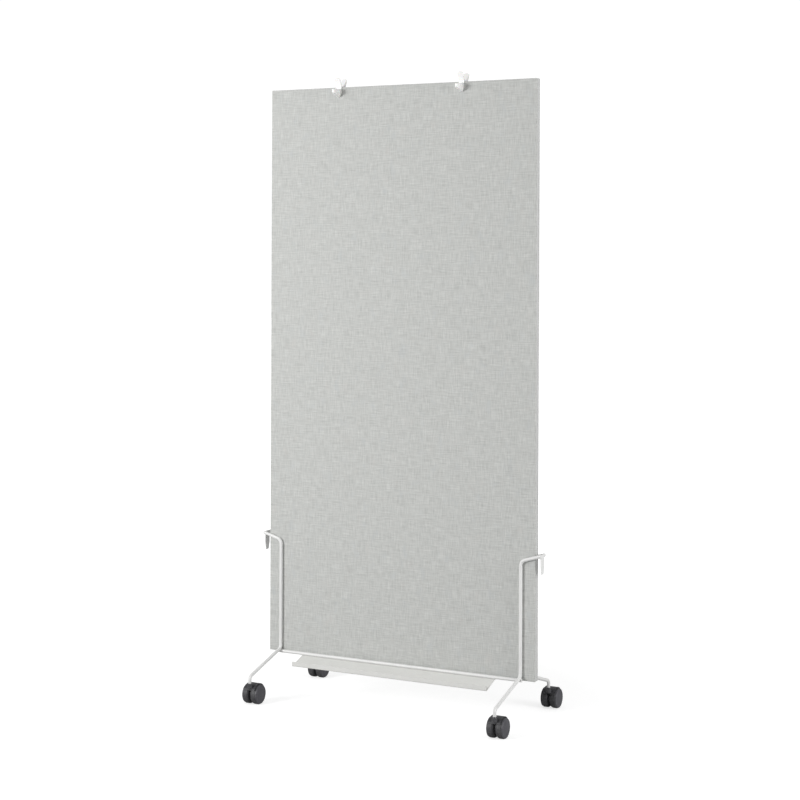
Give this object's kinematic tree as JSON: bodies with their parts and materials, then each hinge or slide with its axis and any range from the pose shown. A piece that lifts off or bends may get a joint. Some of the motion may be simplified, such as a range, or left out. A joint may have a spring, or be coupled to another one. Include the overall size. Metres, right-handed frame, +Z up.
{
  "type": "mobile display partition wall",
  "caption": "Double-sided fabric display partition in a wire base with a front tray, sliding top hooks and twin-wheel swivel casters.",
  "frame": {"origin": "on the floor under the middle of the object's bounding box", "axes": "+Z up, +X along the panel to the right when the tray faces the viewer, -Y out of the face with the tray"},
  "size_m": [0.9488, 0.453, 1.9175],
  "materials": {
    "cover_fabric": "woven, heathered light grey",
    "pin_board": "pressed fibre board",
    "core_paper": "kraft paper honeycomb",
    "frame_metal": "extruded, natural",
    "key_plastic": "moulded",
    "base_paint": "satin powder coat, pale silver grey",
    "tray_paint": "satin powder coat, pale grey",
    "hook_plastic": "moulded, white",
    "pad_rubber": "matt",
    "fastener_steel": "zinc plated",
    "caster_nylon": "moulded, charcoal",
    "caster_tread": "matt"
  },
  "bodies": {
    "stand": {"front_fabric": "cover_fabric", "rear_fabric": "cover_fabric", "front_board": "pin_board", "rear_board": "pin_board", "honeycomb_core": "core_paper", "left_stile": "frame_metal", "right_stile": "frame_metal", "top_rail": "frame_metal", "bottom_rail": "frame_metal", "corner_keys": "key_plastic", "front_left_wire": "base_paint", "front_right_wire": "base_paint", "rear_left_wire": "base_paint", "rear_right_wire": "base_paint", "front_cross_wire": "base_paint", "rear_cross_wire": "base_paint", "left_side_tab": "base_paint", "right_side_tab": "base_paint", "tray": "tray_paint", "rest_pads": "pad_rubber", "panel_screws": "fastener_steel", "front_left_pivot_pin": "fastener_steel", "front_right_pivot_pin": "fastener_steel", "rear_left_pivot_pin": "fastener_steel", "rear_right_pivot_pin": "fastener_steel"},
    "left_hook": {"left_top_hook": "hook_plastic"},
    "right_hook": {"right_top_hook": "hook_plastic"},
    "front_left_caster": {"front_left_caster_housing": "caster_nylon", "front_left_caster_axle": "fastener_steel"},
    "front_left_caster_left_rolling": {"front_left_caster_left_wheel": "caster_nylon", "front_left_caster_left_tyre": "caster_tread"},
    "front_left_caster_right_rolling": {"front_left_caster_right_wheel": "caster_nylon", "front_left_caster_right_tyre": "caster_tread"},
    "front_right_caster": {"front_right_caster_housing": "caster_nylon", "front_right_caster_axle": "fastener_steel"},
    "front_right_caster_left_rolling": {"front_right_caster_left_wheel": "caster_nylon", "front_right_caster_left_tyre": "caster_tread"},
    "front_right_caster_right_rolling": {"front_right_caster_right_wheel": "caster_nylon", "front_right_caster_right_tyre": "caster_tread"},
    "rear_left_caster": {"rear_left_caster_housing": "caster_nylon", "rear_left_caster_axle": "fastener_steel"},
    "rear_left_caster_left_rolling": {"rear_left_caster_left_wheel": "caster_nylon", "rear_left_caster_left_tyre": "caster_tread"},
    "rear_left_caster_right_rolling": {"rear_left_caster_right_wheel": "caster_nylon", "rear_left_caster_right_tyre": "caster_tread"},
    "rear_right_caster": {"rear_right_caster_housing": "caster_nylon", "rear_right_caster_axle": "fastener_steel"},
    "rear_right_caster_left_rolling": {"rear_right_caster_left_wheel": "caster_nylon", "rear_right_caster_left_tyre": "caster_tread"},
    "rear_right_caster_right_rolling": {"rear_right_caster_right_wheel": "caster_nylon", "rear_right_caster_right_tyre": "caster_tread"}
  },
  "joints": [
    {"name": "left_hook_slide", "type": "slide", "parent": "stand", "child": "left_hook", "axis": [1, 0, 0], "range_m": [-0.225, 0.19]},
    {"name": "right_hook_slide", "type": "slide", "parent": "stand", "child": "right_hook", "axis": [1, 0, 0], "range_m": [-0.19, 0.225]},
    {"name": "front_left_caster_swivel", "type": "hinge", "parent": "stand", "child": "front_left_caster", "pos_m": [-0.41, -0.2175, 0.0647], "axis": [0, 0, 1], "continuous": true},
    {"name": "front_left_caster_left_spin", "type": "hinge", "parent": "front_left_caster", "child": "front_left_caster_left_rolling", "pos_m": [-0.425, -0.1935, 0.03], "axis": [1, 0, 0], "continuous": true},
    {"name": "front_left_caster_right_spin", "type": "hinge", "parent": "front_left_caster", "child": "front_left_caster_right_rolling", "pos_m": [-0.395, -0.1935, 0.03], "axis": [1, 0, 0], "continuous": true},
    {"name": "front_right_caster_swivel", "type": "hinge", "parent": "stand", "child": "front_right_caster", "pos_m": [0.41, -0.2175, 0.0647], "axis": [0, 0, 1], "continuous": true},
    {"name": "front_right_caster_left_spin", "type": "hinge", "parent": "front_right_caster", "child": "front_right_caster_left_rolling", "pos_m": [0.395, -0.1935, 0.03], "axis": [1, 0, 0], "continuous": true},
    {"name": "front_right_caster_right_spin", "type": "hinge", "parent": "front_right_caster", "child": "front_right_caster_right_rolling", "pos_m": [0.425, -0.1935, 0.03], "axis": [1, 0, 0], "continuous": true},
    {"name": "rear_left_caster_swivel", "type": "hinge", "parent": "stand", "child": "rear_left_caster", "pos_m": [-0.41, 0.1725, 0.0647], "axis": [0, 0, 1], "continuous": true},
    {"name": "rear_left_caster_left_spin", "type": "hinge", "parent": "rear_left_caster", "child": "rear_left_caster_left_rolling", "pos_m": [-0.425, 0.1965, 0.03], "axis": [1, 0, 0], "continuous": true},
    {"name": "rear_left_caster_right_spin", "type": "hinge", "parent": "rear_left_caster", "child": "rear_left_caster_right_rolling", "pos_m": [-0.395, 0.1965, 0.03], "axis": [1, 0, 0], "continuous": true},
    {"name": "rear_right_caster_swivel", "type": "hinge", "parent": "stand", "child": "rear_right_caster", "pos_m": [0.41, 0.1725, 0.0647], "axis": [0, 0, 1], "continuous": true},
    {"name": "rear_right_caster_left_spin", "type": "hinge", "parent": "rear_right_caster", "child": "rear_right_caster_left_rolling", "pos_m": [0.395, 0.1965, 0.03], "axis": [1, 0, 0], "continuous": true},
    {"name": "rear_right_caster_right_spin", "type": "hinge", "parent": "rear_right_caster", "child": "rear_right_caster_right_rolling", "pos_m": [0.425, 0.1965, 0.03], "axis": [1, 0, 0], "continuous": true}
  ]
}
